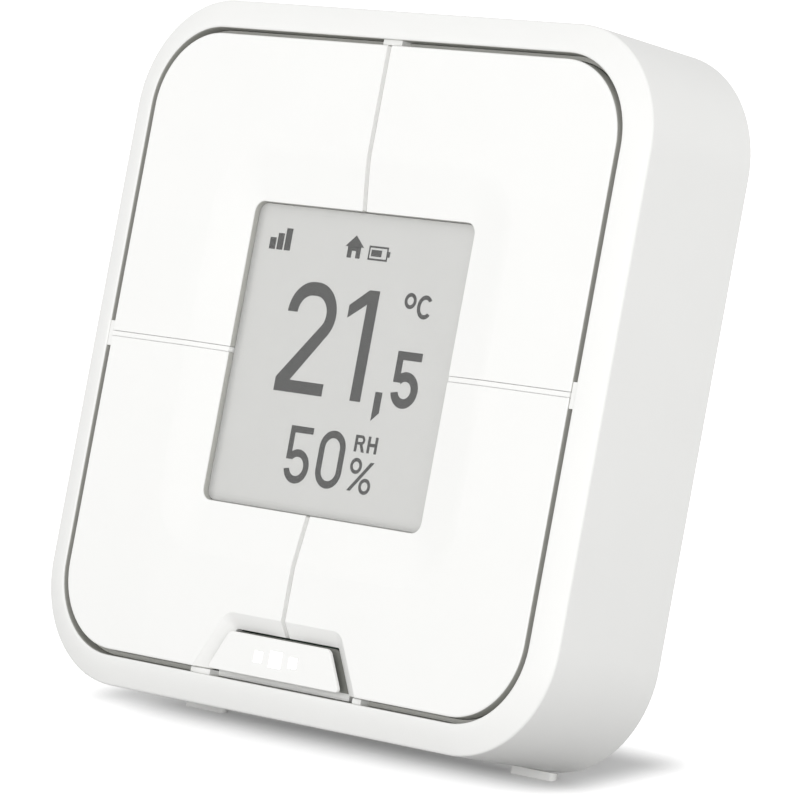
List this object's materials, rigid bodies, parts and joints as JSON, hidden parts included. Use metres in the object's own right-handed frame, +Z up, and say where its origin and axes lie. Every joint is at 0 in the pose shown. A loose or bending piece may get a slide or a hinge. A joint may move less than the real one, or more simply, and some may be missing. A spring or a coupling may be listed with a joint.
{
  "type": "indoor climate display with press keys",
  "caption": "Square white desk unit with rounded corners, paddle keys around a sunken paper display, a small menu key at the foot and a fold-out leg at the back.",
  "frame": {"origin": "on the floor, at the middle of the bounding box of the standing unit", "axes": "+Z up, the display face looks towards -Y and leans back 15 degrees, +X to the right of somebody looking at the face"},
  "size_m": [0.074, 0.0348, 0.0759],
  "materials": {
    "white_shell": "fine satin white moulding",
    "white_key": "smooth satin white moulding",
    "white_inner": "plain white moulding",
    "dark_inner": "dark grey moulding",
    "light_guide": "milky light guide",
    "window_glass": "clear hard-coated pane",
    "display_paper": "light grey reflective paper display",
    "gasket_foam": "thin grey foam tape",
    "board_green": "green solder mask",
    "bright_metal": "nickel-plated steel",
    "black_plastic": "black moulding",
    "amber_film": "amber film",
    "cell_wrap": "printed cell sleeve without lettering",
    "rubber_pad": "soft pale grey rubber"
  },
  "bodies": {
    "root": {"housing_shell": "white_shell", "display_window": "window_glass", "window_gasket": "gasket_foam", "paper_display": "display_paper", "display_tray": "white_inner", "key_carrier": "dark_inner", "main_board": "board_green", "switch_upper_left": "bright_metal", "switch_upper_right": "bright_metal", "switch_lower_left": "bright_metal", "switch_lower_right": "bright_metal", "switch_menu": "bright_metal", "led_left": "amber_film", "led_middle": "amber_film", "led_right": "amber_film", "radio_module": "bright_metal", "processor_chip": "black_plastic", "climate_sensor": "black_plastic", "ribbon_connector": "white_inner", "display_ribbon": "amber_film", "battery_tray": "dark_inner", "cell_upper": "cell_wrap", "cell_lower": "cell_wrap", "contact_plate_upper": "bright_metal", "contact_spring_upper": "bright_metal", "contact_plate_lower": "bright_metal", "contact_spring_lower": "bright_metal", "back_cover": "white_shell", "cover_screw_upper_left": "bright_metal", "cover_screw_upper_right": "bright_metal", "cover_screw_lower_left": "bright_metal", "cover_screw_lower_right": "bright_metal", "rubber_foot_left": "rubber_pad", "rubber_foot_right": "rubber_pad", "hinge_pin": "bright_metal"},
    "paddle_upper_left_body": {"paddle_upper_left": "white_key"},
    "paddle_upper_right_body": {"paddle_upper_right": "white_key"},
    "paddle_lower_left_body": {"paddle_lower_left": "white_key"},
    "paddle_lower_right_body": {"paddle_lower_right": "white_key"},
    "menu_key_body": {"menu_key": "white_key", "light_guide": "light_guide"},
    "plunger_upper_left_body": {"plunger_upper_left": "black_plastic"},
    "plunger_upper_right_body": {"plunger_upper_right": "black_plastic"},
    "plunger_lower_left_body": {"plunger_lower_left": "black_plastic"},
    "plunger_lower_right_body": {"plunger_lower_right": "black_plastic"},
    "plunger_menu_body": {"plunger_menu": "black_plastic"},
    "leg_body": {"stand_leg": "white_shell", "leg_pad": "rubber_pad"},
    "door_body": {"battery_door": "white_shell"}
  },
  "joints": [
    {"name": "paddle_upper_left_press", "type": "hinge", "parent": "root", "child": "paddle_upper_left_body", "pos_m": [-0.00845, -0.00464, 0.0482], "axis": [-0.7071, -0.183, -0.683], "range_deg": [0, 1], "stiffness_Nm_per_rad": 0.6, "springref_deg": -0.57},
    {"name": "paddle_upper_right_press", "type": "hinge", "parent": "root", "child": "paddle_upper_right_body", "pos_m": [0.00845, -0.00464, 0.0482], "axis": [-0.7071, 0.183, 0.683], "range_deg": [0, 1], "stiffness_Nm_per_rad": 0.6, "springref_deg": -0.57},
    {"name": "paddle_lower_left_press", "type": "hinge", "parent": "root", "child": "paddle_lower_left_body", "pos_m": [-0.00845, -0.00901, 0.03188], "axis": [0.7071, -0.183, -0.683], "range_deg": [0, 1], "stiffness_Nm_per_rad": 0.6, "springref_deg": -0.57},
    {"name": "paddle_lower_right_press", "type": "hinge", "parent": "root", "child": "paddle_lower_right_body", "pos_m": [0.00845, -0.00901, 0.03188], "axis": [0.7071, 0.183, 0.683], "range_deg": [0, 1], "stiffness_Nm_per_rad": 0.6, "springref_deg": -0.57},
    {"name": "menu_key_press", "type": "slide", "parent": "root", "child": "menu_key_body", "axis": [0, 0.9659, -0.2588], "range_m": [0, 0.0003], "stiffness_N_per_m": 400, "springref_m": -0.0003},
    {"name": "plunger_upper_left_travel", "type": "slide", "parent": "root", "child": "plunger_upper_left_body", "axis": [0, 0.9659, -0.2588], "range_m": [0, 0.0003]},
    {"name": "plunger_upper_right_travel", "type": "slide", "parent": "root", "child": "plunger_upper_right_body", "axis": [0, 0.9659, -0.2588], "range_m": [0, 0.0003]},
    {"name": "plunger_lower_left_travel", "type": "slide", "parent": "root", "child": "plunger_lower_left_body", "axis": [0, 0.9659, -0.2588], "range_m": [0, 0.0003]},
    {"name": "plunger_lower_right_travel", "type": "slide", "parent": "root", "child": "plunger_lower_right_body", "axis": [0, 0.9659, -0.2588], "range_m": [0, 0.0003]},
    {"name": "plunger_menu_travel", "type": "slide", "parent": "root", "child": "plunger_menu_body", "axis": [0, 0.9659, -0.2588], "range_m": [0, 0.0003]},
    {"name": "stand_leg_fold", "type": "hinge", "parent": "root", "child": "leg_body", "pos_m": [0, 0.00799, 0.03504], "axis": [1, 0, 0], "range_deg": [-24.5, 0]},
    {"name": "battery_door_pull", "type": "slide", "parent": "root", "child": "door_body", "axis": [0, 0.9659, -0.2588], "range_m": [0, 0.015]}
  ],
  "couplings": [
    {"joint": "plunger_upper_left_travel", "follows": "paddle_upper_left_press", "m_per_rad": 0.016334},
    {"joint": "plunger_upper_right_travel", "follows": "paddle_upper_right_press", "m_per_rad": 0.016334},
    {"joint": "plunger_lower_left_travel", "follows": "paddle_lower_left_press", "m_per_rad": 0.016334},
    {"joint": "plunger_lower_right_travel", "follows": "paddle_lower_right_press", "m_per_rad": 0.016334},
    {"joint": "plunger_menu_travel", "follows": "menu_key_press", "ratio": 1}
  ]
}
